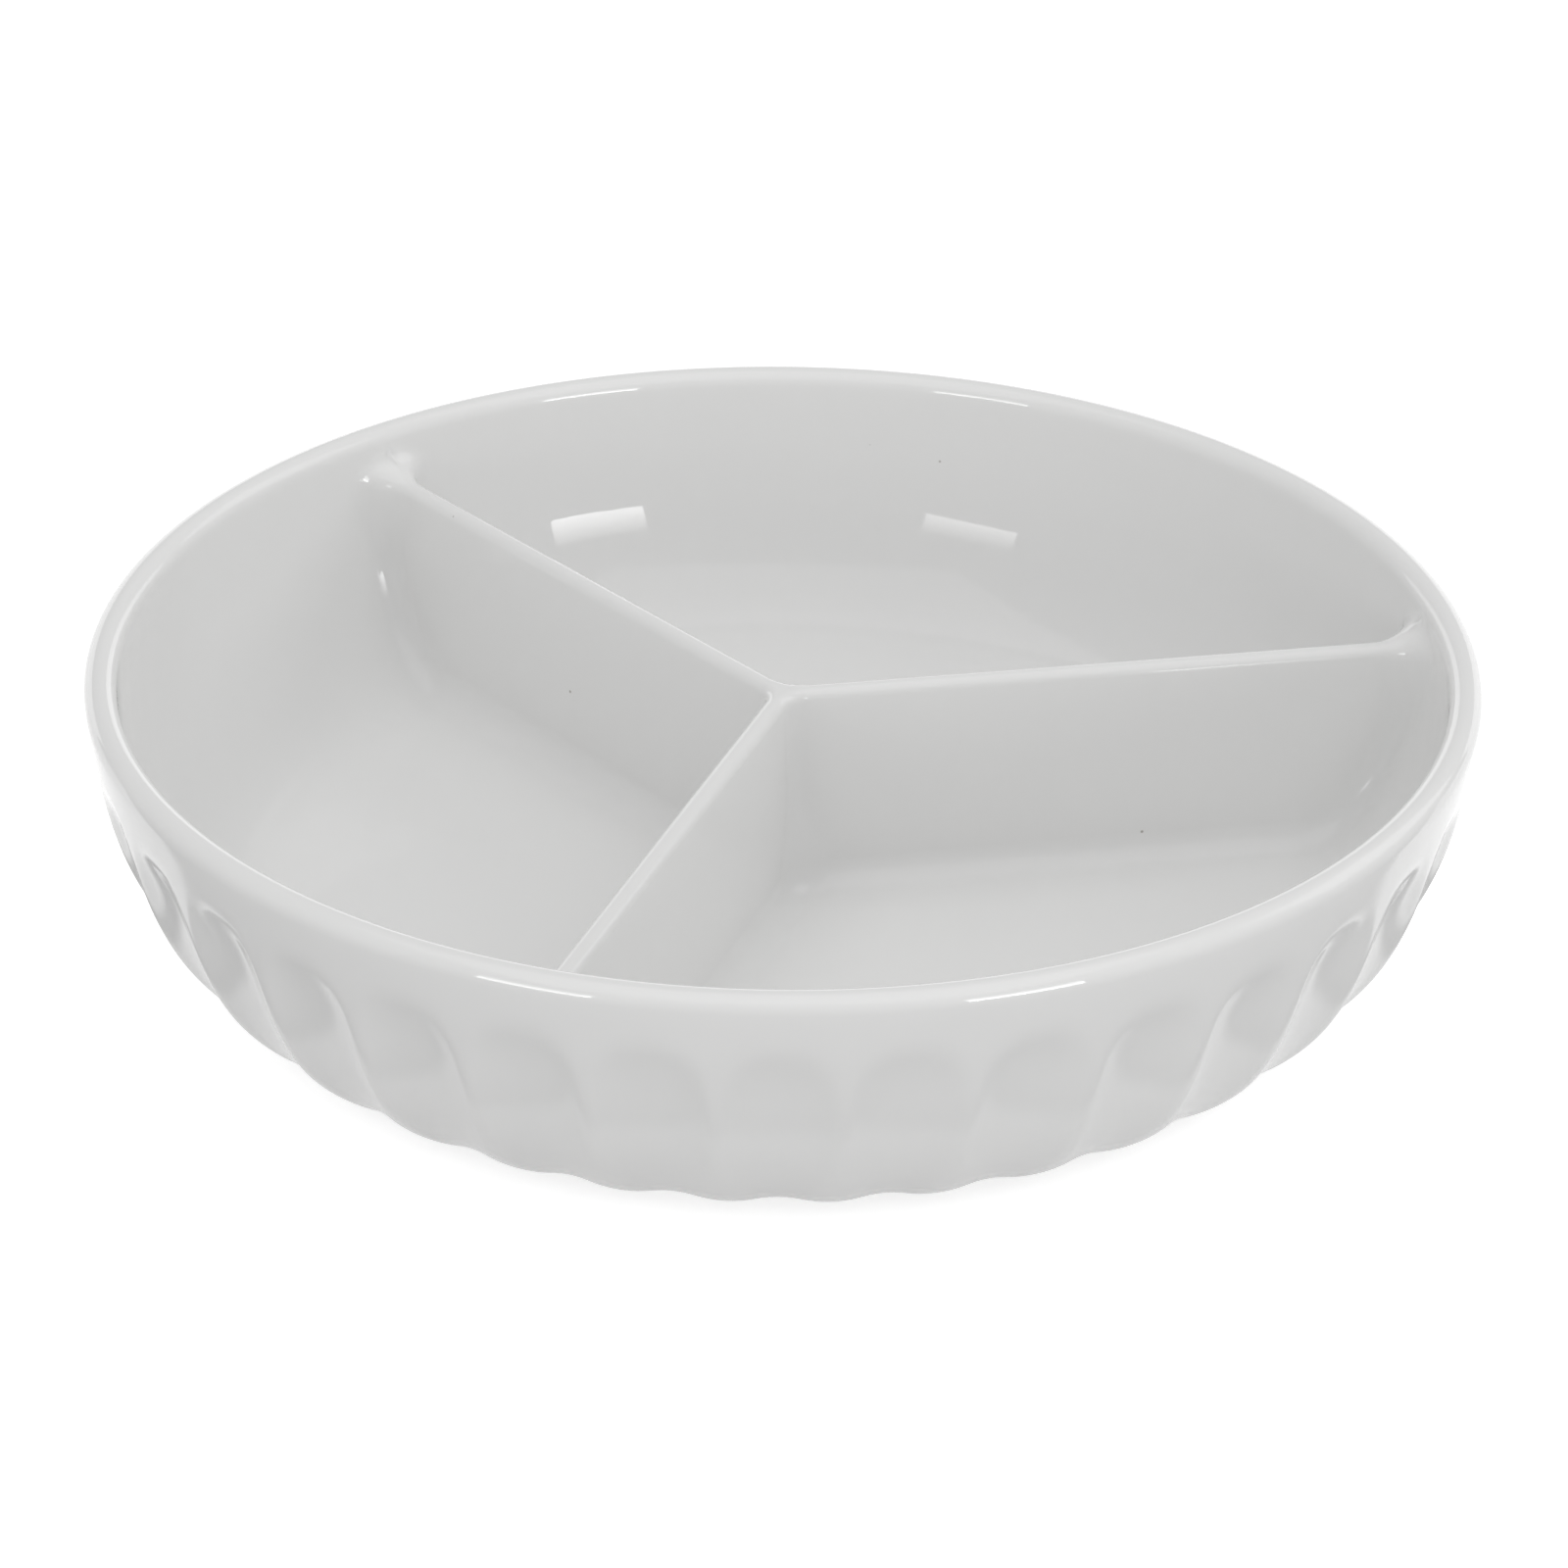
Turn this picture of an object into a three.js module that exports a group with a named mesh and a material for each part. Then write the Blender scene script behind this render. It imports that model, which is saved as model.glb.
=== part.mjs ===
// Divided cereal bowl: a shallow round bowl whose outside wall is ringed with arched flutes,
// with three upright dividers that meet in the middle and a low foot ring underneath.
// Millimetres, +Z up. The origin is the middle of the foot, on the surface that the bowl stands on.
import * as THREE from 'three';

// Bowl
const RIM_DIAMETER = 200;
const BOWL_HEIGHT = 45;
const WALL_THICKNESS = 4.6;
const WALL_LEAN = THREE.MathUtils.degToRad(4.8);
const BASE_DIAMETER = 159.4;
const BASE_SLOPE = THREE.MathUtils.degToRad(28);
const BELLY_TOP_PULL = 28;
const BELLY_BASE_PULL = 8.4;
const FLOOR_DIAMETER = 154;
const FLOOR_THICKNESS = 5;

// Flutes round the outside wall
const FLUTE_COUNT = 36;
const FLUTE_DEPTH = 1.3;
const FLUTE_FOOT_DEPTH = 0.7;
const FLUTE_TOP_DROP = 7.7;
const FLUTE_ARCH_HEIGHT = 6.3;
const RIDGE_SHARE = 0.38;
const RIDGE_FOOT_SHARE = 0.58;
const RIDGE_FOOT_HEIGHT = 10;

// Dividers
const DIVIDER_NAMES = ['divider_right', 'divider_left', 'divider_front'];
const FIRST_DIVIDER_ANGLE = THREE.MathUtils.degToRad(10.5);
const DIVIDER_DROP = 7.2;
const DIVIDER_TOP_WIDTH = 3.2;
const DIVIDER_DRAFT = THREE.MathUtils.degToRad(2);
const DIVIDER_FOOT_FILLET = 4.5;
const DIVIDER_END_SWEEP = 6.5;
const DIVIDER_TIP_RISE = 1.8;
const HUB_FILLET = 3.5;

// Foot ring
const FOOT_DIAMETER = 132;
const FOOT_WIDTH = 6;
const FOOT_HEIGHT = 1.2;
const FOOT_BEVEL = 0.6;
const FOOT_SEAT_MARGIN = 2;

// Seams where one clay piece is set on another
const JOINT_GAP = 0.3;

// Facets
const STEPS_PER_FLUTE = 4;
const BELLY_ROWS = 20;
const LIP_ROWS = 4;
const WALL_ROWS = 9;
const FOOT_SEGMENTS = 72;
const FLOOR_STATIONS = 5;
const HUB_STATIONS = 2;

// Levels and radii that the sizes above lead to
const rimRadius = RIM_DIAMETER / 2;
const lipRadius = WALL_THICKNESS / 2;
const lipLevel = BOWL_HEIGHT - lipRadius;
const baseRadius = BASE_DIAMETER / 2;
const undersideLevel = FOOT_HEIGHT + JOINT_GAP;
const floorLevel = undersideLevel + FLOOR_THICKNESS;
const floorRadius = FLOOR_DIAMETER / 2;
const wallReach = rimRadius - WALL_THICKNESS - floorRadius;
const wallRise = lipLevel - floorLevel;
const dividerTop = BOWL_HEIGHT - DIVIDER_DROP;
const fluteColumns = FLUTE_COUNT * STEPS_PER_FLUTE;
const bisector = Math.PI / DIVIDER_NAMES.length;
const hubSeam = JOINT_GAP / 2 / Math.sin(bisector);

const glaze = { color: 0xeeeeec, roughness: 0.18, metalness: 0 };
const bareClay = { color: 0xe2dfd8, roughness: 0.75, metalness: 0 };

// A profile in (radius, height) is turned about +Z, with its first column at the front (-Y).
function turn(profile, segments) {
  const geometry = new THREE.LatheGeometry(profile, segments);
  geometry.rotateX(Math.PI / 2);
  return geometry;
}

// A point of the rounded lip. Angle 0 faces outwards and PI faces inwards.
function lipPoint(angle) {
  const radius = rimRadius - lipRadius + lipRadius * Math.cos(angle);
  return new THREE.Vector2(radius, lipLevel + lipRadius * Math.sin(angle));
}

// A step in the (radius, height) plane, at an angle up from the level.
function stepAt(angle, length) {
  return new THREE.Vector2(length * Math.cos(angle), length * Math.sin(angle));
}

// Outside of the wall, from the base edge up to where the leaning wall runs into the lip.
function bellyCurve() {
  const baseEdge = new THREE.Vector2(baseRadius, undersideLevel);
  const lipFoot = lipPoint(-WALL_LEAN);
  const basePull = stepAt(BASE_SLOPE, BELLY_BASE_PULL).add(baseEdge);
  const topPull = stepAt(Math.PI / 2 - WALL_LEAN, -BELLY_TOP_PULL).add(lipFoot);
  return new THREE.CubicBezierCurve(baseEdge, basePull, topPull, lipFoot);
}

// Inside of the wall as a quarter ellipse: 0 is the edge of the flat floor, PI / 2 the lip.
function insideWall(angle, gap = 0) {
  const radius = floorRadius + (wallReach - gap) * Math.sin(angle);
  const height = lipLevel - (wallRise - gap) * Math.cos(angle);
  return new THREE.Vector2(radius, height);
}

function wallAngle(row) {
  return (row / WALL_ROWS) * (Math.PI / 2);
}

// Depth of the flutes at a turn from the front and a height: hollow in section with rounded ridges,
// which are wide and soft at the foot, and arched at the top.
function fluteDepth(turnAngle, height) {
  const pitch = (2 * Math.PI) / FLUTE_COUNT;
  const offCentre = turnAngle - pitch * Math.round(turnAngle / pitch);
  const across = offCentre / (pitch / 2);
  const spring = BOWL_HEIGHT - FLUTE_TOP_DROP - FLUTE_ARCH_HEIGHT;
  const up = Math.max(0, height - spring) / FLUTE_ARCH_HEIGHT;
  const out = Math.min(1, Math.hypot(across, up));
  const drawnIn = THREE.MathUtils.smoothstep(height, undersideLevel, undersideLevel + RIDGE_FOOT_HEIGHT);
  const ridge = THREE.MathUtils.lerp(RIDGE_FOOT_SHARE, RIDGE_SHARE, drawnIn);
  const hollow = out < 1 - ridge ? 1 - (out * out) / (1 - ridge) : (1 - out) ** 2 / ridge;
  const climbed = THREE.MathUtils.clamp((height - undersideLevel) / (spring - undersideLevel), 0, 1);
  return hollow * THREE.MathUtils.lerp(FLUTE_FOOT_DEPTH, FLUTE_DEPTH, climbed);
}

// The shell's section, from the middle of its underside round the rim to the middle of its floor.
function shellProfile() {
  const belly = bellyCurve();
  const seatRadius = FOOT_DIAMETER / 2 + FOOT_SEAT_MARGIN;
  const points = [new THREE.Vector2(0, undersideLevel), new THREE.Vector2(seatRadius, undersideLevel)];
  const inward = [null, null];
  for (let row = 0; row <= BELLY_ROWS; row += 1) {
    const along = row / BELLY_ROWS;
    const tangent = belly.getTangentAt(along);
    points.push(belly.getPointAt(along));
    inward.push(new THREE.Vector2(-tangent.y, tangent.x));
  }
  for (let row = 1; row < LIP_ROWS; row += 1) {
    points.push(lipPoint(THREE.MathUtils.lerp(-WALL_LEAN, Math.PI, row / LIP_ROWS)));
    inward.push(null);
  }
  for (let row = WALL_ROWS; row >= 0; row -= 1) {
    points.push(insideWall(wallAngle(row)));
    inward.push(null);
  }
  points.push(new THREE.Vector2(0, floorLevel));
  inward.push(null);
  return { points, inward };
}

// The turned shell, with every point of the belly pushed in along the wall's normal by its flute.
function bowlShell() {
  const { points, inward } = shellProfile();
  const geometry = turn(points, fluteColumns);
  const position = geometry.attributes.position;
  for (let index = 0; index < position.count; index += 1) {
    const normal = inward[index % points.length];
    if (normal) {
      const x = position.getX(index);
      const y = position.getY(index);
      const turnAngle = Math.atan2(x, -y);
      const depth = fluteDepth(turnAngle, position.getZ(index));
      const radius = Math.hypot(x, y) + normal.x * depth;
      const height = position.getZ(index) + normal.y * depth;
      position.setXYZ(index, radius * Math.sin(turnAngle), -radius * Math.cos(turnAngle), height);
    }
  }
  return geometry;
}

// How far a hollow fillet stands out at a distance from the face that it runs into.
function filletReach(radius, distance) {
  const left = THREE.MathUtils.clamp(radius - distance, 0, radius);
  return radius - Math.sqrt(radius * radius - left * left);
}

// Distance from a point inside the bowl to the floor or the wall, whichever is nearer.
function clearance(radius, height) {
  const across = Math.max(0, radius - floorRadius) / wallReach;
  const down = Math.max(0, lipLevel - height) / wallRise;
  const share = Math.hypot(across, down);
  return ((1 - share) * share) / Math.hypot(across / wallReach, down / wallRise);
}

// Places along a divider, from the hub to the wall: a height's own distance from the middle,
// and the height of the divider's lower edge there.
function dividerStations() {
  const stations = [];
  const hubTurn = Math.PI / 2 - bisector;
  const tangentAt = (half) => (half + HUB_FILLET) / Math.tan(bisector);
  for (let step = 0; step <= HUB_STATIONS; step += 1) {
    const angle = hubTurn * (1 - step / HUB_STATIONS);
    const seam = step === 0 ? hubSeam : 0;
    stations.push({
      foot: floorLevel + JOINT_GAP,
      along: (half) => tangentAt(half) - HUB_FILLET * Math.sin(angle) + seam,
      flare: HUB_FILLET * (1 - Math.cos(angle)),
      top: dividerTop,
    });
  }
  const hubEnd = tangentAt(DIVIDER_TOP_WIDTH / 2 + wallRise * Math.tan(DIVIDER_DRAFT));
  for (let step = 1; step <= FLOOR_STATIONS; step += 1) {
    const radius = THREE.MathUtils.lerp(hubEnd, floorRadius, step / FLOOR_STATIONS);
    stations.push({ foot: floorLevel + JOINT_GAP, along: () => radius, flare: 0, top: dividerTop });
  }
  const tipAngle = Math.acos((lipLevel - dividerTop - DIVIDER_TIP_RISE) / (wallRise - JOINT_GAP));
  const angles = [];
  for (let row = 1; wallAngle(row) < tipAngle; row += 1) {
    angles.push(wallAngle(row));
  }
  angles.push(tipAngle);
  for (const angle of angles) {
    const { x: radius, y: foot } = insideWall(angle, JOINT_GAP);
    const toWall = floorRadius + wallReach - radius;
    const top = dividerTop + filletReach(DIVIDER_END_SWEEP, toWall);
    stations.push({ foot, along: () => radius, flare: 0, top });
  }
  return stations;
}

// Heights up a divider at one station: the hollow fillet at its foot, its side, then its round top.
function dividerHeights({ foot, top }) {
  const crown = DIVIDER_TOP_WIDTH / 2;
  const room = Math.min(1, (top - foot) / (DIVIDER_FOOT_FILLET + crown));
  const fillet = DIVIDER_FOOT_FILLET * room;
  const round = crown * room;
  const footSteps = [0, 0.12, 0.35, 1].map((share) => foot + share * fillet);
  const crownSteps = [0, 0.5, 0.87].map((share) => top - round + share * round);
  return [...footSteps, ...crownSteps];
}

// Half the thickness of a divider's own slab at a height under its top.
function slabHalf(height, top) {
  const crown = DIVIDER_TOP_WIDTH / 2;
  const overCrown = height - (top - crown);
  if (overCrown > 0) {
    return Math.sqrt(crown * crown - overCrown * overCrown);
  }
  return crown - overCrown * Math.tan(DIVIDER_DRAFT);
}

// One divider as a loft along +X: a plate in squares, whose points are set to the station and height
// that they stand for. It thickens into the floor, the wall and its neighbours at the hub.
function divider() {
  const stations = dividerStations();
  const heights = stations.map(dividerHeights);
  const columns = stations.length - 1;
  const rows = heights[0].length - 1;
  const geometry = new THREE.BoxGeometry(1, 1, 1, columns, 2, rows);
  const position = geometry.attributes.position;
  for (let index = 0; index < position.count; index += 1) {
    const column = Math.round((position.getX(index) + 0.5) * columns);
    const side = Math.round(position.getY(index) * 2);
    const row = Math.round((position.getZ(index) + 0.5) * rows);
    const station = stations[column];
    const height = heights[column][row];
    const toBowl = clearance(station.along(0), height);
    const half = slabHalf(height, station.top) + filletReach(DIVIDER_FOOT_FILLET, toBowl);
    const radius = station.along(half);
    if (side !== 0) {
      position.setXYZ(index, radius, side * (half + station.flare), height);
    } else {
      position.setXYZ(index, column === 0 ? hubSeam : radius, 0, row === rows ? station.top : height);
    }
  }
  return geometry;
}

// A low ring with bevelled edges under the shell.
function footRing() {
  const outer = FOOT_DIAMETER / 2;
  const inner = outer - FOOT_WIDTH;
  const section = [
    [outer, FOOT_HEIGHT],
    [inner, FOOT_HEIGHT],
    [inner, FOOT_BEVEL],
    [inner + FOOT_BEVEL, 0],
    [outer - FOOT_BEVEL, 0],
    [outer, FOOT_BEVEL],
    [outer, FOOT_HEIGHT],
  ].map(([radius, height]) => new THREE.Vector2(radius, height));
  return turn(section, FOOT_SEGMENTS);
}

function addPart(parent, name, geometry, finish) {
  const mesh = new THREE.Mesh(geometry, new THREE.MeshStandardMaterial(finish));
  mesh.name = name;
  parent.add(mesh);
  return mesh;
}

const bowl = new THREE.Group();
addPart(bowl, 'bowl_shell', bowlShell(), glaze);
DIVIDER_NAMES.forEach((name, index) => {
  const mesh = addPart(bowl, name, divider(), glaze);
  mesh.rotation.z = FIRST_DIVIDER_ANGLE + (index / DIVIDER_NAMES.length) * 2 * Math.PI;
});
addPart(bowl, 'foot_ring', footRing(), bareClay);

export default bowl;
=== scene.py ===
# %% [markdown]
# A divided cereal bowl in white glazed ceramic: a shallow round bowl with arched flutes round its outside
# and three upright dividers that meet in the middle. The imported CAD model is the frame: it fixes the size
# and the place of every piece, and this script gives the bowl its fired, glazed look around it.

# %% Load the frame
import math

import bmesh
import bpy
from mathutils import Matrix, Vector


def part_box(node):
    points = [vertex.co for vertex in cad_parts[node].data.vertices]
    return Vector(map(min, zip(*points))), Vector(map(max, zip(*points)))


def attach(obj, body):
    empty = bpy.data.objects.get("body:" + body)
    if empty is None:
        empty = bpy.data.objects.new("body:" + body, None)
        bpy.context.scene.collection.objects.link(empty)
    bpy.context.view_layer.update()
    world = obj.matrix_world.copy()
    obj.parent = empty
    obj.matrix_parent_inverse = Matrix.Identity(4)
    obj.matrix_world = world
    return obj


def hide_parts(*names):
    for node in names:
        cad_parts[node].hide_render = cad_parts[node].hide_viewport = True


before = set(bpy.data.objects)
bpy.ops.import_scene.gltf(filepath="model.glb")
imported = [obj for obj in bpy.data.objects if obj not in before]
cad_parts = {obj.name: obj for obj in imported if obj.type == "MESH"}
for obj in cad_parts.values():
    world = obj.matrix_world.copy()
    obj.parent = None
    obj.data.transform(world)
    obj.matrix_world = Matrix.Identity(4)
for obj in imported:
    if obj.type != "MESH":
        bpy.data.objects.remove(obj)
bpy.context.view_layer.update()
print("frame nodes:", sorted(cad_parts))

# %% [markdown]
# The meshes are worked out in millimetres, because a potter thinks in them, and are scaled to metres when
# they are finished. The big sizes come from the frame. The rest are the small sizes of the ware: wall,
# lip and floor. Points that lie within a weld distance of each other are merged.

# %% Sizes of the bowl
MM = 0.001
shell_low, shell_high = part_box("bowl_shell")
_, foot_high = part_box("foot_ring")

RIM_RADIUS = shell_high.x / MM
BOWL_HEIGHT = shell_high.z / MM
UNDERSIDE = shell_low.z / MM
FOOT_RADIUS = foot_high.x / MM
WALL = 4.6
LIP_RADIUS = WALL / 2
LIP_LEVEL = BOWL_HEIGHT - LIP_RADIUS
RING_RADIUS = RIM_RADIUS - WALL
FLOOR_RADIUS = 77.0
FLOOR_THICKNESS = 5.0
FLOOR_LEVEL = UNDERSIDE + FLOOR_THICKNESS
WELD = 0.01
FINE_WELD = 0.001
print(f"rim {2 * RIM_RADIUS:.1f} mm across, {BOWL_HEIGHT:.1f} mm high")

# %% [markdown]
# The camera stands where the photograph was taken from: about three quarters of a metre away, 27 degrees
# above the rim, with a long lens. It tips down at the bowl and leans over by half a degree, as the
# picture does.

# %% Camera
CAMERA_DISTANCE = 754.0
CAMERA_ELEVATION = math.radians(26.95)
CAMERA_PITCH = math.radians(28.479)
CAMERA_YAW = math.radians(-0.0224)
CAMERA_ROLL = math.radians(0.5624)
CAMERA_LENS = 120.41
SENSOR_WIDTH = 36.0

camera_data = bpy.data.cameras.new("photo_camera")
camera_data.lens = CAMERA_LENS
camera_data.sensor_width = SENSOR_WIDTH
camera = bpy.data.objects.new("photo_camera", camera_data)
bpy.context.scene.collection.objects.link(camera)
bpy.context.scene.camera = camera
stand = Vector((0, -math.cos(CAMERA_ELEVATION), math.sin(CAMERA_ELEVATION))) * CAMERA_DISTANCE
aim = (
    Matrix.Rotation(CAMERA_YAW, 4, "Z")
    @ Matrix.Rotation(math.pi / 2 - CAMERA_PITCH, 4, "X")
    @ Matrix.Rotation(CAMERA_ROLL, 4, "Z")
)
camera.matrix_world = Matrix.Translation((stand + Vector((0, 0, BOWL_HEIGHT))) * MM) @ aim
print("camera at", [round(value, 4) for value in camera.location])

# %% [markdown]
# The outside of the bowl is a turned form, so it starts as half of its section: one chain of points from
# under the foot, round the base edge, up the belly and over the lip. The belly is a Bezier curve, which
# needs only two pulls to follow the outline. Spinning the chain makes the whole outside in one operation.

# %% Section of the outside
BASE_RADIUS = 79.7
BASE_SLOPE = math.radians(28)
BASE_PULL = 8.4
WALL_LEAN = math.radians(4.8)
TOP_PULL = 28.0
SEAT_MARGIN = 2.0
SEAT_RADIUS = FOOT_RADIUS + SEAT_MARGIN
DISC_RADIUS = 52.0
UNDER_ROWS = 6
BELLY_ROWS = 40
LIP_ROWS = 12


def lip_point(angle):
    """A point of the rounded lip: angle 0 faces outwards, pi faces inwards."""
    centre = Vector((RIM_RADIUS - LIP_RADIUS, LIP_LEVEL))
    return centre + LIP_RADIUS * Vector((math.cos(angle), math.sin(angle)))


def belly_point(along):
    """A point of the belly's Bezier curve, from the base edge at 0 to the lip at 1."""
    base = Vector((BASE_RADIUS, UNDERSIDE))
    top = lip_point(-WALL_LEAN)
    base_pull = base + BASE_PULL * Vector((math.cos(BASE_SLOPE), math.sin(BASE_SLOPE)))
    top_pull = top - TOP_PULL * Vector((math.sin(WALL_LEAN), math.cos(WALL_LEAN)))
    left = 1 - along
    lower = left**3 * base + 3 * left**2 * along * base_pull
    upper = 3 * left * along**2 * top_pull + along**3 * top
    return lower + upper


def outside_section():
    """The chain of (radius, height) points from under the foot to the inner edge of the lip."""
    points = [Vector((DISC_RADIUS, UNDERSIDE))]
    for row in range(UNDER_ROWS):
        radius = SEAT_RADIUS + (BASE_RADIUS - SEAT_RADIUS) * row / UNDER_ROWS
        points.append(Vector((radius, UNDERSIDE)))
    points += [belly_point(row / BELLY_ROWS) for row in range(BELLY_ROWS + 1)]
    for row in range(1, LIP_ROWS + 1):
        points.append(lip_point(-WALL_LEAN + (math.pi + WALL_LEAN) * row / LIP_ROWS))
    return points


section = outside_section()
print(len(section), "points in the section")

# %% Spin the outside
COLUMNS = 720


def add_chain(bm, points):
    """Vertices joined by edges, one after another."""
    verts = [bm.verts.new(point) for point in points]
    edges = [bm.edges.new(pair) for pair in zip(verts, verts[1:])]
    return verts, edges


def spin_round(bm, verts, edges, columns):
    """Spins a chain once round the Z axis, and welds the end of the turn to its start."""
    turn = dict(cent=(0, 0, 0), axis=(0, 0, 1), angle=2 * math.pi, steps=columns, use_merge=True)
    bmesh.ops.spin(bm, geom=verts + edges, **turn)
    bmesh.ops.remove_doubles(bm, verts=bm.verts, dist=FINE_WELD)


outside = bmesh.new()
row_of = outside.verts.layers.int.new("row")
chain, chain_edges = add_chain(outside, [(0, -point.x, point.y) for point in section])
for row, vert in enumerate(chain):
    vert[row_of] = row
spin_round(outside, chain, chain_edges, COLUMNS)
print(len(outside.faces), "faces in the outside")

# %% [markdown]
# Thirty-six flutes ring the outside. Each is hollow in section, with a ridge on either side and an arched
# top that fades into the plain band under the rim. The ridges are narrow up the wall and spread into
# wide, soft waves at the foot. A boolean cut would leave sharp seams, so each point of the wall is pushed
# in along the wall's own normal by the depth of its flute. The points are gathered towards the ridges
# first, where the surface turns fastest.

# %% Sizes of the flutes
FLUTES = 36
FLUTE_DEPTH = 1.6
FLUTE_FOOT_DEPTH = 0.75
BAND_HEIGHT = 7.4
ARCH_HEIGHT = 12.0
FLUTE_APEX = BOWL_HEIGHT - BAND_HEIGHT
FLUTE_SPRING = FLUTE_APEX - ARCH_HEIGHT
ARCH_POWER = 2.6
HOLLOW_POWER = 2.4
HOLLOW_FOOT_POWER = 2.0
RIDGE_SHARE = 0.18
RIDGE_FOOT_SHARE = 0.58
WAVE_HEIGHT = 14.0
GATHER = 0.55
FLUTE_PITCH = 2 * math.pi / FLUTES
print(f"flutes {FLUTE_APEX - UNDERSIDE:.1f} mm high, with arches of {ARCH_HEIGHT:.1f} mm")

# %% Depth of the flutes


def smooth_step(value):
    """Eases from 0 to 1."""
    value = min(1.0, max(0.0, value))
    return value * value * (3 - 2 * value)


def blend(first, second, share):
    """A value between two others."""
    return first + (second - first) * share


def hollow_share(out, ridge, power):
    """Share of a flute's depth: 1 along its middle, 0 on the ridge, whose crest is rounded."""
    side = 1 - ridge
    steepness = 1 / (side ** (power - 1) * (side + power * ridge / 2))
    if out < side:
        return 1 - steepness * out**power
    return steepness * power * side ** (power - 1) * (1 - out) ** 2 / (2 * ridge)


def flute_depth(turn, height):
    """Depth of the flutes at a turn from the front and a height."""
    across = abs(turn - FLUTE_PITCH * round(turn / FLUTE_PITCH)) / (FLUTE_PITCH / 2)
    up = max(0.0, height - FLUTE_SPRING) / (FLUTE_APEX - FLUTE_SPRING)
    out = min(1.0, (across**ARCH_POWER + up**ARCH_POWER) ** (1 / ARCH_POWER))
    climbed = smooth_step((height - UNDERSIDE) / WAVE_HEIGHT)
    ridge = blend(RIDGE_FOOT_SHARE, RIDGE_SHARE, climbed)
    power = blend(HOLLOW_FOOT_POWER, HOLLOW_POWER, climbed)
    deepening = smooth_step((height - UNDERSIDE) / (FLUTE_SPRING - UNDERSIDE))
    deepest = blend(FLUTE_FOOT_DEPTH, FLUTE_DEPTH, deepening)
    return hollow_share(out, ridge, power) * deepest


print("depth of a flute at its spring:", round(flute_depth(0, FLUTE_SPRING), 2), "mm")

# %% Press in the flutes


def press_flute(vert):
    """Moves a point of the outside towards the nearest ridge, and into the clay by the flute's depth."""
    row = vert[row_of]
    along = section[min(row + 1, len(section) - 1)] - section[max(row - 1, 0)]
    inward = Vector((-along.y, along.x)).normalized()
    radius = math.hypot(vert.co.x, vert.co.y)
    turn = math.atan2(vert.co.x, -vert.co.y)
    under_fade = smooth_step((radius - SEAT_RADIUS) / (BASE_RADIUS - SEAT_RADIUS))
    lip_fade = smooth_step((LIP_LEVEL - vert.co.z) / (LIP_LEVEL - FLUTE_APEX))
    turn += GATHER * under_fade * lip_fade * math.sin(turn * FLUTES) / FLUTES
    move = inward * flute_depth(turn, vert.co.z) * under_fade
    radius += move.x
    vert.co = (radius * math.sin(turn), -radius * math.cos(turn), vert.co.z + move.y)


for vert in outside.verts:
    press_flute(vert)
outside.verts.layers.int.remove(row_of)
disc_edge = [edge for edge in outside.edges if edge.is_boundary and edge.verts[0].co.z < FLOOR_LEVEL]
bmesh.ops.edgeloop_fill(outside, edges=disc_edge)
print(FLUTES, "flutes pressed into the outside")

# %% [markdown]
# Inside, the floor, the wall and the dividers run into each other in soft hollow fillets, because wet
# clay and glaze leave no sharp corners. That blend is easiest to write as a field: a number for each
# point of space that is zero on the surface and grows into the air. Two distances are blended into one by
# a fillet of a given radius. A point settles on the surface in a few steps along the field's slope.

# %% Sizes of the inside
DIVIDER_DROP = 7.2
DIVIDER_TOP = BOWL_HEIGHT - DIVIDER_DROP
DIVIDER_CROWN = 1.6
DIVIDER_DRAFT = math.radians(2)
FILLET = 4.2
CORNER_FILLET = 3.4
END_FILLET = 6.8
HUB_BLEND = 3.9
HUB_FOOT_BLEND = 8.2
HUB_FOOT_HEIGHT = 16.0
WALL_REACH = RING_RADIUS - FLOOR_RADIUS
WALL_RISE = LIP_LEVEL - FLOOR_LEVEL
CROWN_LEVEL = DIVIDER_TOP - DIVIDER_CROWN
HALF_ANGLE = math.radians(60)
SINE, COSINE = math.sin(HALF_ANGLE), math.cos(HALF_ANGLE)
LEAST_DROP = 1e-6
print(f"dividers {DIVIDER_TOP - FLOOR_LEVEL:.1f} mm high, {2 * DIVIDER_CROWN:.1f} mm wide at the top")

# %% Fillets


def fillet(first, second, radius):
    """The nearer of two distances, rounded where both are within the radius."""
    if first >= radius or second >= radius:
        return min(first, second)
    return radius - math.hypot(radius - first, radius - second)


def hub_blend(height):
    """Radius of the corner between two dividers, about their middle planes: wider towards the floor."""
    return blend(HUB_FOOT_BLEND, HUB_BLEND, smooth_step((height - FLOOR_LEVEL) / HUB_FOOT_HEIGHT))


def corner_fillet(height):
    """Radius of the hollow between a divider and the bowl: tight halfway up, wide at the divider's top."""
    half_way = (FLOOR_LEVEL + DIVIDER_TOP) / 2
    if height < half_way:
        climbed = smooth_step((height - FLOOR_LEVEL) / (half_way - FLOOR_LEVEL))
        return blend(FILLET, CORNER_FILLET, climbed)
    climbed = smooth_step((height - half_way) / (DIVIDER_TOP - half_way))
    under_lip = smooth_step((LIP_LEVEL - height) / (LIP_LEVEL - DIVIDER_TOP))
    return blend(CORNER_FILLET, END_FILLET, climbed * under_lip)


print("corner fillet at a divider's top:", round(corner_fillet(DIVIDER_TOP), 1), "mm")

# %% The field of the inside


def bowl_distance(radius, height):
    """Distance into the air from the floor and the wall, whose section is a quarter ellipse."""
    across = max(0.0, radius - FLOOR_RADIUS) / WALL_REACH
    down = max(LEAST_DROP, LIP_LEVEL - height) / WALL_RISE
    share = math.hypot(across, down)
    return (1 - share) * share / math.hypot(across / WALL_REACH, down / WALL_RISE)


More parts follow.
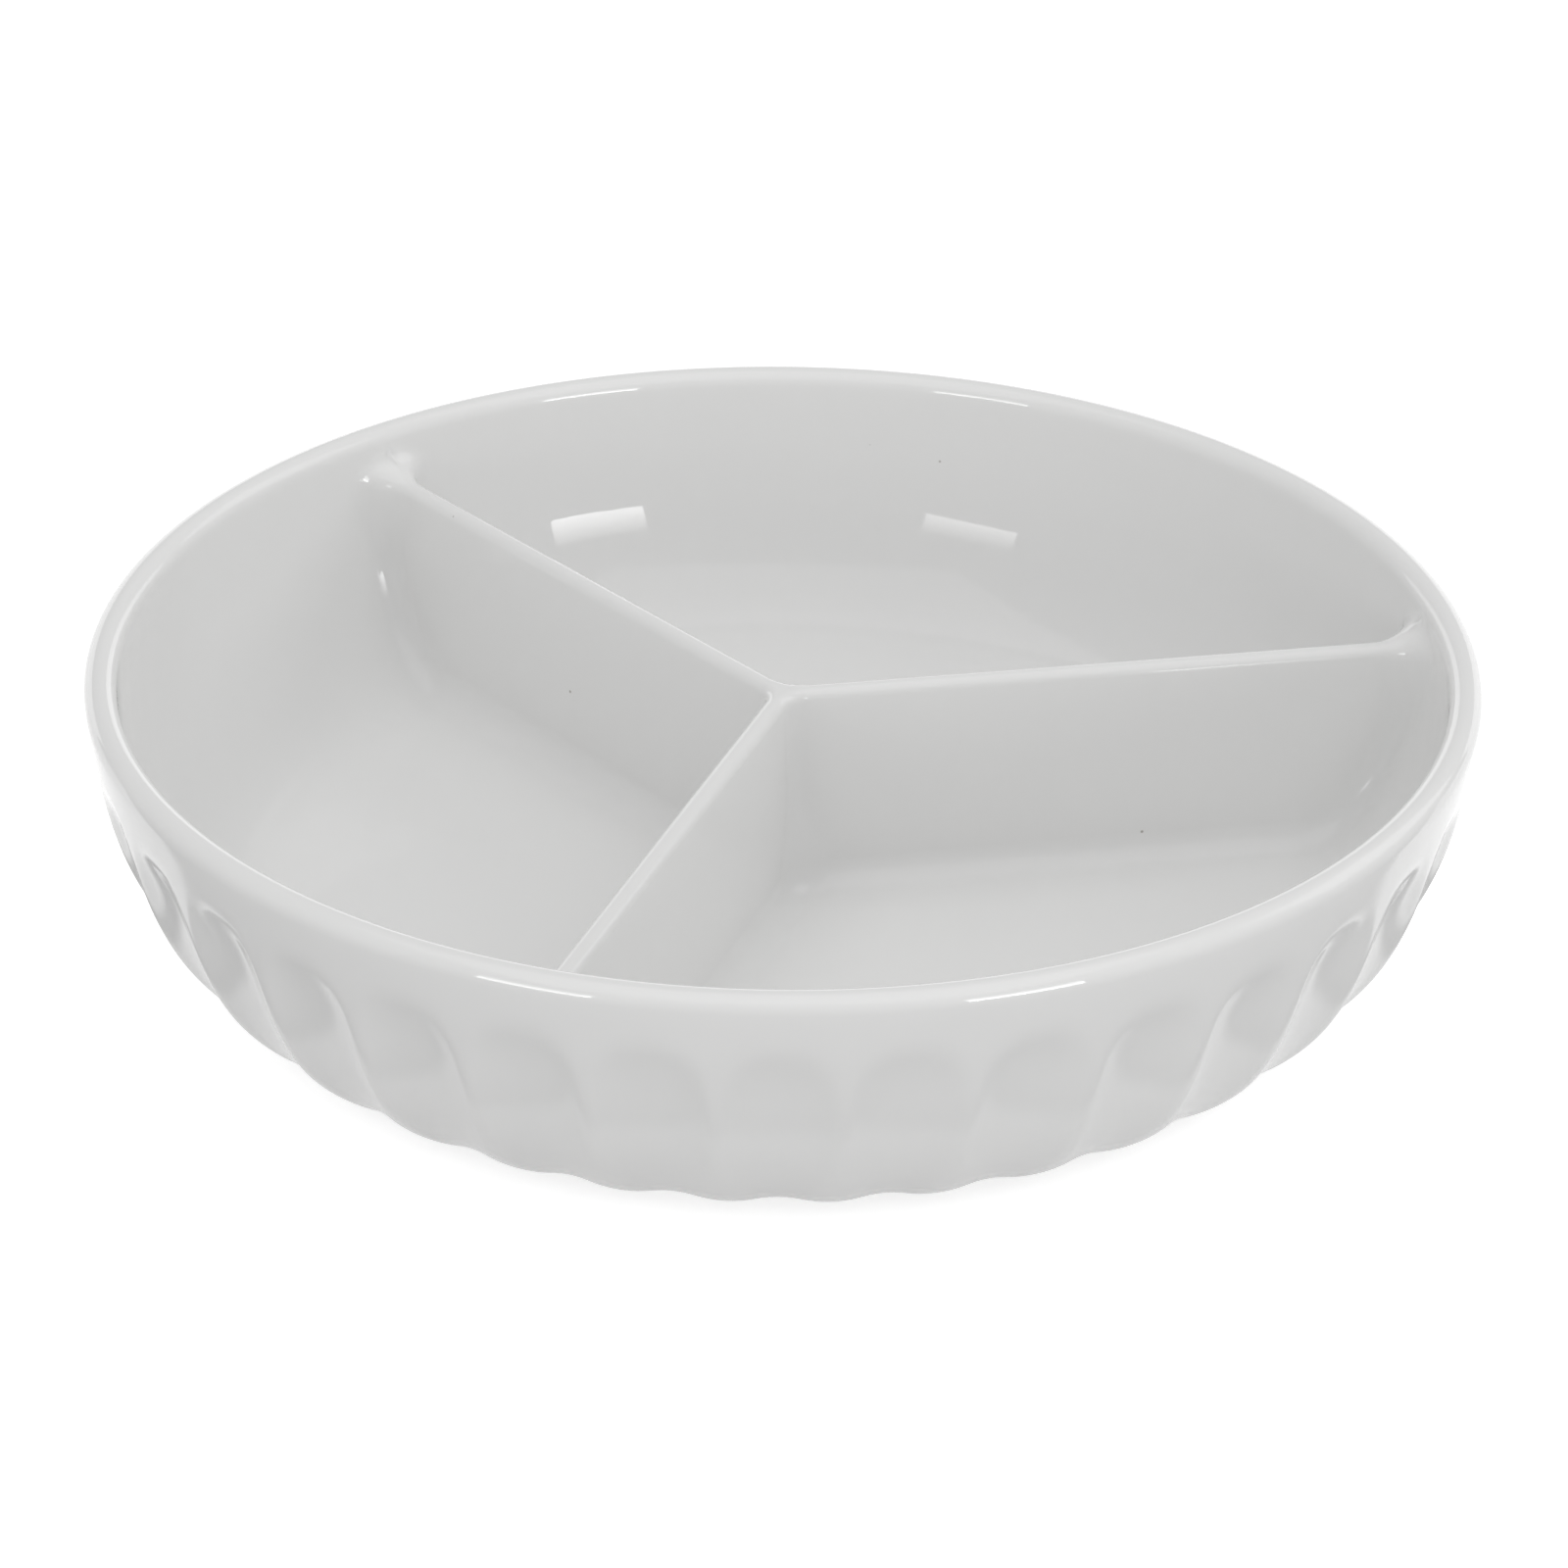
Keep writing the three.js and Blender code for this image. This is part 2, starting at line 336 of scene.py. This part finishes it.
def divider_distance(point):
    """Distance into the air from the two dividers beside a compartment that opens towards +X."""
    left = abs(point.x * SINE - point.y * COSINE)
    right = abs(point.x * SINE + point.y * COSINE)
    away = max(0.0, fillet(left, right, hub_blend(point.z)))
    over = point.z - CROWN_LEVEL
    if over > away * math.tan(DIVIDER_DRAFT):
        return math.hypot(away, over) - DIVIDER_CROWN
    return away * math.cos(DIVIDER_DRAFT) + over * math.sin(DIVIDER_DRAFT) - DIVIDER_CROWN


def inside_field(point):
    """Zero on the glaze inside the bowl, positive in the air above it."""
    bowl = bowl_distance(math.hypot(point.x, point.y), point.z)
    return fillet(bowl, divider_distance(point), corner_fillet(point.z))


floor_middle = Vector((FLOOR_RADIUS / 2, 0, FLOOR_LEVEL))
print("field at the middle of the floor:", round(inside_field(floor_middle), 4))

# %% [markdown]
# One compartment is the same on both sides of its middle, so half of it is enough. It is a loft of four
# outlines, each running from the hub along a divider, round the corner and along the wall: the crest with
# the lip, the shoulder, the start of the foot's fillet and the edge of the flat floor. Extruding a chain
# of edges from outline to outline and subdividing the strips gives an even net, and settling its points
# on the field shapes it.

# %% Steps along an outline
HUB_STEPS = 8
SIDE_STEPS = 36
CORNER_STEPS = 16
LIP_STEPS = round(HALF_ANGLE / (2 * math.pi / COLUMNS))
WALL_STEPS = LIP_STEPS - CORNER_STEPS // 2


def spread(first, last, steps):
    """Even values after the first up to the last."""
    return [first + (last - first) * step / steps for step in range(1, steps + 1)]


def beside_divider(along, away, height):
    """A point given by its distance along a divider and away from it."""
    return Vector((along * COSINE + away * SINE, along * SINE - away * COSINE, height))


def wall_arc(radius, height, start_turn, steps):
    """Points along the wall, from a turn away from the divider to the middle of the compartment."""
    turns = spread(start_turn, HALF_ANGLE, steps)
    return [beside_divider(radius * math.cos(turn), radius * math.sin(turn), height) for turn in turns]


print(LIP_STEPS, "steps along the lip of half a compartment")

# %% Outlines of half a compartment


def crest_outline():
    """Along the crest of the divider from the hub, up its end to the lip, then along the lip."""
    hub_end = HUB_BLEND / SINE
    sweep = RING_RADIUS - END_FILLET
    rise = LIP_LEVEL - DIVIDER_TOP
    points = [beside_divider(0, 0, DIVIDER_TOP)]
    for along in spread(0, hub_end, HUB_STEPS) + spread(hub_end, sweep, SIDE_STEPS):
        points.append(beside_divider(along, 0, DIVIDER_TOP))
    for share in spread(0, 1, CORNER_STEPS // 2):
        points.append(beside_divider(sweep + END_FILLET * share, 0, DIVIDER_TOP + rise * share))
    points += wall_arc(RING_RADIUS, LIP_LEVEL, 0, LIP_STEPS)
    return points


def sector_outline(away, radius, height, corner):
    """A level outline with rounded corners, a distance away from the divider and out to a radius."""
    hub = hub_blend(height)
    points = []
    for turn in [math.pi / 4] + spread(math.pi / 4, 0, HUB_STEPS):
        near = hub - (hub - away) * math.cos(turn)
        far = hub - (hub - away) * math.sin(turn)
        points.append(beside_divider((far - near * COSINE) / SINE, near, height))
    start = (hub - away * COSINE) / SINE
    centre = math.sqrt((radius - corner) ** 2 - (away + corner) ** 2)
    end_turn = math.atan2(away + corner, centre)
    for along in spread(start, centre, SIDE_STEPS):
        points.append(beside_divider(along, away, height))
    for turn in spread(-math.pi / 2, end_turn, CORNER_STEPS):
        across = away + corner + corner * math.sin(turn)
        points.append(beside_divider(centre + corner * math.cos(turn), across, height))
    points += wall_arc(radius, height, end_turn, WALL_STEPS)
    return points


def wall_radius(height):
    """Inside radius of the wall at a height."""
    down = (LIP_LEVEL - height) / WALL_RISE
    return FLOOR_RADIUS + WALL_REACH * math.sqrt(1 - down * down)


def side_half(height):
    """Half the thickness of a divider at a height under its crown."""
    return DIVIDER_CROWN + (CROWN_LEVEL - height) * math.tan(DIVIDER_DRAFT)


def side_outline(height):
    """The outline on the divider's side and the wall at a height."""
    return sector_outline(side_half(height), wall_radius(height), height, corner_fillet(height))


outlines = [
    crest_outline(),
    side_outline(CROWN_LEVEL),
    side_outline(FLOOR_LEVEL + FILLET),
    sector_outline(side_half(FLOOR_LEVEL) + FILLET, FLOOR_RADIUS, FLOOR_LEVEL, FILLET),
]
print([len(outline) for outline in outlines], "points in the outlines")

# %% Loft half a compartment
STRIP_CUTS = (6, 11, 9)


def extrude_chain(bm, verts, edges, points):
    """Extrudes a chain to a new outline, and returns the new chain and the edges across the strip."""
    grown = bmesh.ops.extrude_edge_only(bm, edges=edges)["geom"]
    fresh = {item for item in grown if isinstance(item, bmesh.types.BMVert)}
    across = [next(edge for edge in vert.link_edges if edge.other_vert(vert) in fresh) for vert in verts]
    new_verts = [edge.other_vert(vert) for edge, vert in zip(across, verts)]
    for vert, point in zip(new_verts, points):
        vert.co = point
    new_edges = [bm.edges.get(pair) for pair in zip(new_verts, new_verts[1:])]
    return new_verts, new_edges, across


inside = bmesh.new()
verts, edges = add_chain(inside, outlines[0])
strips = []
for outline in outlines[1:]:
    verts, edges, across = extrude_chain(inside, verts, edges, outline)
    strips.append(across)
for across, cuts in zip(strips, STRIP_CUTS):
    bmesh.ops.subdivide_edges(inside, edges=across, cuts=cuts, use_grid_fill=True)
print(len(inside.faces), "faces in half a compartment")

# %% Settle it on the field
SETTLE_STEPS = 14
SETTLE_ERROR = 1e-5
SLOPE_REACH = 0.001
LEAST_SLOPE = 0.05
LONGEST_STEP = 2


def settle(vert):
    """Slides a point along the field's gradient until it lies on the surface."""
    for _ in range(SETTLE_STEPS):
        value = inside_field(vert.co)
        if abs(value) < SETTLE_ERROR:
            break
        slope = Vector()
        for axis in range(3):
            nudge = Vector()
            nudge[axis] = SLOPE_REACH
            change = inside_field(vert.co + nudge) - inside_field(vert.co - nudge)
            slope[axis] = change / (2 * SLOPE_REACH)
        step = slope * (-value / max(slope.length_squared, LEAST_SLOPE))
        vert.co += step if step.length < LONGEST_STEP else step.normalized() * LONGEST_STEP


for vert in inside.verts:
    settle(vert)
worst = max(abs(inside_field(vert.co)) for vert in inside.verts)
print("settled to", round(worst, 5), "mm")

# %% Mirror, floor and repeat
COMPARTMENTS = 3
COMPARTMENT_TURN = math.radians(70.5)
MIRROR_WELD = 0.004
FLOOR_INSET = 1.5

every = inside.verts[:] + inside.edges[:] + inside.faces[:]
bmesh.ops.mirror(inside, geom=every, axis="Y", merge_dist=WELD)
bmesh.ops.remove_doubles(inside, verts=inside.verts, dist=MIRROR_WELD)
floor_edge = [
    edge for edge in inside.edges
    if edge.is_boundary and max(vert.co.z for vert in edge.verts) < FLOOR_LEVEL + WELD
]
floor_face = bmesh.ops.edgeloop_fill(inside, edges=floor_edge)["faces"]
bmesh.ops.inset_region(inside, faces=floor_face, thickness=FLOOR_INSET, use_even_offset=True)
facing = Matrix.Rotation(COMPARTMENT_TURN, 3, "Z")
bmesh.ops.rotate(inside, verts=inside.verts, cent=(0, 0, 0), matrix=facing)
every = inside.verts[:] + inside.edges[:] + inside.faces[:]
copies = COMPARTMENTS - 1
round_turn = math.radians(360 * copies / COMPARTMENTS)
repeat = dict(cent=(0, 0, 0), axis=(0, 0, 1), angle=round_turn, steps=copies, use_duplicate=True)
bmesh.ops.spin(inside, geom=every, **repeat)
print(len(inside.faces), "faces in", COMPARTMENTS, "compartments")

# %% [markdown]
# The outside and the inside meet at the inner edge of the lip, point for point, so joining them is only a
# matter of merging doubles. The normals are recalculated after that, when the shell is closed all round.

# %% Join the bowl


def finish_piece(name, bm):
    """Scales a mesh to metres, turns its faces outwards and puts it in the scene as a smooth object."""
    bmesh.ops.remove_doubles(bm, verts=bm.verts, dist=WELD)
    bmesh.ops.recalc_face_normals(bm, faces=bm.faces)
    bmesh.ops.scale(bm, verts=bm.verts, vec=(MM, MM, MM))
    for face in bm.faces:
        face.smooth = True
    open_edges = sum(not edge.is_manifold for edge in bm.edges)
    mesh = bpy.data.meshes.new(name)
    bm.to_mesh(mesh)
    bm.free()
    piece = bpy.data.objects.new(name, mesh)
    bpy.context.scene.collection.objects.link(piece)
    print(name, "has", len(mesh.polygons), "faces and", open_edges, "open edges")
    return piece


join_mesh = bpy.data.meshes.new("inside_join")
inside.to_mesh(join_mesh)
inside.free()
outside.from_mesh(join_mesh)
bpy.data.meshes.remove(join_mesh)
glazed_bowl = finish_piece("glazed_bowl", outside)

# %% [markdown]
# The bowl stands on a low ring that is wiped clean of glaze before firing, so that it doesn't stick to
# the kiln shelf. It is a rectangular section spun round, with its two standing edges bevelled, and it
# runs a little way up into the underside so that no gap shows.

# %% Foot ring
FOOT_WIDTH = 6.0
FOOT_ROUND = 0.6
FOOT_ROUND_STEPS = 4
FOOT_COLUMNS = 180
FOOT_SINK = 0.1

foot = bmesh.new()
foot_top = UNDERSIDE + FOOT_SINK
foot_inside = FOOT_RADIUS - FOOT_WIDTH
corners = [(FOOT_RADIUS, 0), (FOOT_RADIUS, foot_top), (foot_inside, foot_top), (foot_inside, 0)]
chain, chain_edges = add_chain(foot, [(0, -radius, height) for radius, height in corners + corners[:1]])
spin_round(foot, chain, chain_edges, FOOT_COLUMNS)


def is_hoop(edge):
    """True for an edge that runs round the ring and not across it."""
    return len({round(math.hypot(*vert.co.xy), 2) for vert in edge.verts}) == 1


standing = [edge for edge in foot.edges if all(vert.co.z < WELD for vert in edge.verts)]
hoops = [edge for edge in standing if is_hoop(edge)]
rounding = dict(offset=FOOT_ROUND, offset_type="OFFSET", segments=FOOT_ROUND_STEPS, profile=0.5)
bmesh.ops.bevel(foot, geom=hoops, affect="EDGES", material=-1, **rounding)
foot_ring = finish_piece("unglazed_foot", foot)

# %% [markdown]
# Fired clay is never perfectly even. One node group gives both finishes their unevenness: a cloudy tone,
# a fine grain and sparse specks, each with its own scale, so that it is built once and used twice.

# %% Clay unevenness group
GROUP_INPUTS = {"Cloud Scale": 20.0, "Grain Scale": 400.0, "Speck Scale": 90.0}
CLOUD_DETAIL = 3
GRAIN_DETAIL = 2
SPECK_EDGE = 0.022
SPECK_CORE = 0.010


def make_unevenness():
    """A node group that gives a cloudy tone, a grain and sparse specks over Object coordinates."""
    group = bpy.data.node_groups.new("clay_unevenness", "ShaderNodeTree")
    for name, default in GROUP_INPUTS.items():
        socket = group.interface.new_socket(name, in_out="INPUT", socket_type="NodeSocketFloat")
        socket.default_value = default
    for name in ("Cloud", "Grain", "Specks"):
        group.interface.new_socket(name, in_out="OUTPUT", socket_type="NodeSocketFloat")
    nodes, links = group.nodes, group.links
    entry = nodes.new("NodeGroupInput")
    leave = nodes.new("NodeGroupOutput")
    place = nodes.new("ShaderNodeTexCoord")
    cloud = nodes.new("ShaderNodeTexNoise")
    cloud.inputs["Detail"].default_value = CLOUD_DETAIL
    grain = nodes.new("ShaderNodeTexNoise")
    grain.inputs["Detail"].default_value = GRAIN_DETAIL
    cells = nodes.new("ShaderNodeTexVoronoi")
    dots = nodes.new("ShaderNodeMapRange")
    dots.inputs["From Min"].default_value = SPECK_EDGE
    dots.inputs["From Max"].default_value = SPECK_CORE
    for texture, scale in ((cloud, "Cloud Scale"), (grain, "Grain Scale"), (cells, "Speck Scale")):
        links.new(place.outputs["Object"], texture.inputs["Vector"])
        links.new(entry.outputs[scale], texture.inputs["Scale"])
    links.new(cells.outputs["Distance"], dots.inputs["Value"])
    links.new(cloud.outputs["Fac"], leave.inputs["Cloud"])
    links.new(grain.outputs["Fac"], leave.inputs["Grain"])
    links.new(dots.outputs["Result"], leave.inputs["Specks"])
    return group


unevenness = make_unevenness()
print("group", unevenness.name, "with", len(unevenness.nodes), "nodes")

# %% [markdown]
# The glaze is a thick white coat with a clear gloss. It pools and ripples very slightly as it melts,
# which breaks up the edges of reflections: a faint bump does that. Its colour hardly varies, so the cloud
# only shifts the tone by a hair, and the specks are a few tiny pinholes, as there are in the photograph.
# Bare clay is rougher and warmer. A bump is given by its strength and its depth in metres.

# %% Clay material


def mix_colours(tree, first, second, factor):
    """A node that mixes two colours, each a plain colour or another node's output, by a factor."""
    mix = tree.nodes.new("ShaderNodeMix")
    mix.data_type = "RGBA"
    for socket, colour in (("A", first), ("B", second)):
        if isinstance(colour, tuple):
            mix.inputs[socket].default_value = (*colour, 1)
        else:
            tree.links.new(colour, mix.inputs[socket])
    tree.links.new(factor, mix.inputs["Factor"])
    return mix.outputs["Result"]


def clay_material(name, tones, speck, scales, bump):
    """A material with two tones, specks and a fine bump, with its surface and unevenness nodes."""
    material = bpy.data.materials.new(name)
    material.use_nodes = True
    tree = material.node_tree
    surface = tree.nodes["Principled BSDF"]
    uneven = tree.nodes.new("ShaderNodeGroup")
    uneven.node_tree = unevenness
    for socket, value in scales.items():
        uneven.inputs[socket].default_value = value
    tone = mix_colours(tree, *tones, uneven.outputs["Cloud"])
    colour = mix_colours(tree, tone, speck, uneven.outputs["Specks"])
    tree.links.new(colour, surface.inputs["Base Color"])
    grain = tree.nodes.new("ShaderNodeBump")
    grain.inputs["Strength"].default_value, grain.inputs["Distance"].default_value = bump
    tree.links.new(uneven.outputs["Grain"], grain.inputs["Height"])
    tree.links.new(grain.outputs["Normal"], surface.inputs["Normal"])
    return material, surface, uneven


print("a clay material drifts between two tones by the Cloud of", unevenness.name)

# %% Glaze and bare clay
GLAZE_TONES = ((0.855, 0.855, 0.85), (0.875, 0.875, 0.87))
GLAZE_PINHOLE = (0.45, 0.43, 0.40)
GLAZE_SCALES = {"Cloud Scale": 18.0, "Grain Scale": 130.0, "Speck Scale": 75.0}
GLAZE_BUMP = (0.12, 0.0001)
GLAZE_ROUGHNESS = (0.015, 0.04)
GLAZE_IOR = 1.52
CLAY_TONES = ((0.50, 0.47, 0.42), (0.56, 0.53, 0.48))
CLAY_SPECK = (0.30, 0.25, 0.20)
CLAY_SCALES = {"Cloud Scale": 60.0, "Grain Scale": 1400.0, "Speck Scale": 260.0}
CLAY_BUMP = (0.4, 0.0002)
CLAY_ROUGHNESS = 0.8


def make_glaze():
    """Glossy white glaze with a slight ripple and a few tiny pinholes."""
    look = (GLAZE_TONES, GLAZE_PINHOLE, GLAZE_SCALES, GLAZE_BUMP)
    material, surface, uneven = clay_material("white_glaze", *look)
    tree = material.node_tree
    gloss = tree.nodes.new("ShaderNodeMapRange")
    gloss.inputs["To Min"].default_value, gloss.inputs["To Max"].default_value = GLAZE_ROUGHNESS
    tree.links.new(uneven.outputs["Cloud"], gloss.inputs["Value"])
    tree.links.new(gloss.outputs["Result"], surface.inputs["Roughness"])
    surface.inputs["IOR"].default_value = GLAZE_IOR
    return material


def make_bare_clay():
    """Matte, slightly warm fired clay with a visible grain."""
    look = (CLAY_TONES, CLAY_SPECK, CLAY_SCALES, CLAY_BUMP)
    material, surface, _ = clay_material("bare_clay", *look)
    surface.inputs["Roughness"].default_value = CLAY_ROUGHNESS
    return material


glazed_bowl.data.materials.append(make_glaze())
foot_ring.data.materials.append(make_bare_clay())
print("finishes:", glazed_bowl.active_material.name, foot_ring.active_material.name)

# %% [markdown]
# The bowl stands on a white sweep. Its paint is a plain matt grey, and some light is added for the
# camera, so that the open floor is white while the shadow under the bowl stays. The sweep also glows
# for reflections only, and the glaze mirrors that painted reflection most strongly where the wall turns
# away from the viewer. The painted glow isn't even: bright behind the bowl and dim in front of it, where
# two slanting lines bound it, with a painted shade ring round the bowl and some painted light under its
# belly. That draws the light edges of the flutes. Sizes of the floor are in metres.

# %% Nodes for sums and ramps


def math_node(tree, operation, *values):
    """A math node fed by numbers or by other nodes' outputs."""
    node = tree.nodes.new("ShaderNodeMath")
    node.operation = operation
    for socket, value in zip(node.inputs, values):
        if isinstance(value, (int, float)):
            socket.default_value = value
        else:
            tree.links.new(value, socket)
    return node.outputs[0]


def ramp_node(tree, value, low, high):
    """Eases from 0 to 1 as a value goes from low to high."""
    node = tree.nodes.new("ShaderNodeMapRange")
    node.interpolation_type = "SMOOTHSTEP"
    node.inputs["From Min"].default_value = low
    node.inputs["From Max"].default_value = high
    tree.links.new(value, node.inputs["Value"])
    return node.outputs["Result"]


print("sums are Math nodes, and ramps are Map Range nodes")

# %% What reflections see of the floor: a painted reflection
# painted reflection: glow levels that only reflections see, behind the bowl and under its belly
BACK_GLOW = 0.80
NEAR_GLOW = 0.55
LIGHT_SLANT = 0.6
LIGHT_FRONT = 0.105
LIGHT_SOFTNESS = 0.005
# painted shade: edges of the dim ring round the bowl in the painted reflection, in metres from its middle
PAINTED_SHADE_RING_OUTSIDE = (0.109, 0.114)
PAINTED_SHADE_RING_INSIDE = (0.105, 0.099)


def painted_reflection_glow(tree):
    """Painted reflection: glow that only reflections see on the sweep, dim in front and bright behind, with
    a painted shade ring round the bowl.
    """
    place = tree.nodes.new("ShaderNodeTexCoord").outputs["Object"]
    parts = tree.nodes.new("ShaderNodeSeparateXYZ")
    tree.links.new(place, parts.inputs[0])
    reach = tree.nodes.new("ShaderNodeVectorMath")
    reach.operation = "LENGTH"
    tree.links.new(place, reach.inputs[0])
    aside = math_node(tree, "ABSOLUTE", parts.outputs["X"])
    slant = math_node(tree, "MULTIPLY_ADD", aside, -LIGHT_SLANT, LIGHT_FRONT)
    past_line = math_node(tree, "ADD", slant, parts.outputs["Y"])
    behind = ramp_node(tree, past_line, -LIGHT_SOFTNESS, LIGHT_SOFTNESS)
    # painted shade: a dim ring round the bowl in what reflections see, standing in for the bowl's own shade
    # on the sweep
    beyond = ramp_node(tree, reach.outputs["Value"], *PAINTED_SHADE_RING_OUTSIDE)
    near = ramp_node(tree, reach.outputs["Value"], *PAINTED_SHADE_RING_INSIDE)
    lit = math_node(tree, "MULTIPLY", behind, beyond)
    level = math_node(tree, "MULTIPLY", lit, BACK_GLOW)
    return math_node(tree, "MULTIPLY_ADD", near, NEAR_GLOW, level)


print("the light starts", LIGHT_FRONT, "m in front of the bowl's middle")

# %% Floor
SWEEP_REACH = 4.0
SWEEP_COLOUR = (0.62, 0.62, 0.62, 1)
SWEEP_ROUGHNESS = 0.9
CAMERA_GLOW = 0.75


def make_sweep_paint():
    """Floor paint that glows evenly to the camera, and in places to reflections as painted reflection and
    painted shade.
    """
    material = bpy.data.materials.new("white_sweep")
    material.use_nodes = True
    tree = material.node_tree
    surface = tree.nodes["Principled BSDF"]
    surface.inputs["Base Color"].default_value = SWEEP_COLOUR
    surface.inputs["Roughness"].default_value = SWEEP_ROUGHNESS
    surface.inputs["Emission Color"].default_value = (1, 1, 1, 1)
    ray = tree.nodes.new("ShaderNodeLightPath")
    # painted reflection: glow that only glossy rays see, shaped like lit and shaded parts of the sweep
    mirrored = math_node(tree, "MULTIPLY", ray.outputs["Is Glossy Ray"], painted_reflection_glow(tree))
    glow = math_node(tree, "MULTIPLY_ADD", ray.outputs["Is Camera Ray"], CAMERA_GLOW, mirrored)
    tree.links.new(glow, surface.inputs["Emission Strength"])
    return material


sweep = bmesh.new()
bmesh.ops.create_grid(sweep, x_segments=1, y_segments=1, size=SWEEP_REACH / MM)
floor = finish_piece("white_sweep", sweep)
floor.data.materials.append(make_sweep_paint())

# %% [markdown]
# The light is soft and comes from all round: a pale studio, a panel overhead, a lit backdrop and a fill
# from the back right. Two softboxes stand low in front, to the left and the right, and draw the crisp
# highlights on the back wall and along the rim. Each fades from its lower edge to its upper one, and so
# do the highlights. A twin just behind each softbox shows only in mirror rays: it lifts the highlights
# and leaves the soft light as it is. Each panel has a name, a place, a width and height, and a
# brightness.

# %% Lights
PANELS = (
    ("panel_over", (0, -0.35, 1.3), (1.8, 1.8), 0.52),
    ("backdrop", (0, 1.8, 0.3), (4.0, 0.6), 0.9),
    ("panel_right", (1.4, 0.5, 0.9), (1.2, 0.9), 0.90),
)
SOFTBOXES = (
    ("softbox_left", (-0.67, -0.94, 0.22), (0.36, 0.40), 5.2),
    ("softbox_right", (0.67, -0.94, 0.22), (0.36, 0.40), 7.0),
)
GLINT_SHARE = 0.8
GLINT_REACH = 1.01


def add_panel(name, place, size, radiance):
    """A rectangular area light that faces the bowl, with its power worked out from its brightness."""
    lamp = bpy.data.lights.new(name, "AREA")
    lamp.shape = "RECTANGLE"
    lamp.size, lamp.size_y = size
    lamp.energy = radiance * math.pi * size[0] * size[1]
    panel = bpy.data.objects.new(name, lamp)
    panel.location = place
    panel.rotation_mode = "QUATERNION"
    panel.rotation_quaternion = Vector(place).to_track_quat("Z", "Y")
    bpy.context.scene.collection.objects.link(panel)
    return panel


def fade_upwards(lamp):
    """Dims a panel evenly from its lower edge to its upper one."""
    lamp.use_nodes = True
    tree = lamp.node_tree
    place = tree.nodes.new("ShaderNodeNewGeometry")
    parts = tree.nodes.new("ShaderNodeSeparateXYZ")
    tree.links.new(place.outputs["Parametric"], parts.inputs[0])
    level = math_node(tree, "SUBTRACT", 1.0, parts.outputs["Y"])
    tree.links.new(level, tree.nodes["Emission"].inputs["Strength"])


for panel in PANELS:
    add_panel(*panel)
for name, place, size, radiance in SOFTBOXES:
    fade_upwards(add_panel(name, place, size, radiance).data)
    glint = add_panel(name + "_glint", Vector(place) * GLINT_REACH, size, radiance * GLINT_SHARE)
    glint.visible_diffuse = False
    fade_upwards(glint.data)

# %% Studio
WORLD_LEVEL = 0.55

world = bpy.data.worlds.new("pale_studio")
world.use_nodes = True
studio = world.node_tree.nodes["Background"]
studio.inputs["Color"].default_value = (1, 1, 1, 1)
studio.inputs["Strength"].default_value = WORLD_LEVEL
bpy.context.scene.world = world
bpy.context.scene.view_settings.view_transform = "Standard"
print("studio level", WORLD_LEVEL)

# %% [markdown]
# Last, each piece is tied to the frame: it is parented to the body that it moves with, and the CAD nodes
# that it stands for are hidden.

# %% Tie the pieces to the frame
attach(glazed_bowl, "root")
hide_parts("bowl_shell", "divider_right", "divider_left", "divider_front")
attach(foot_ring, "root")
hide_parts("foot_ring")
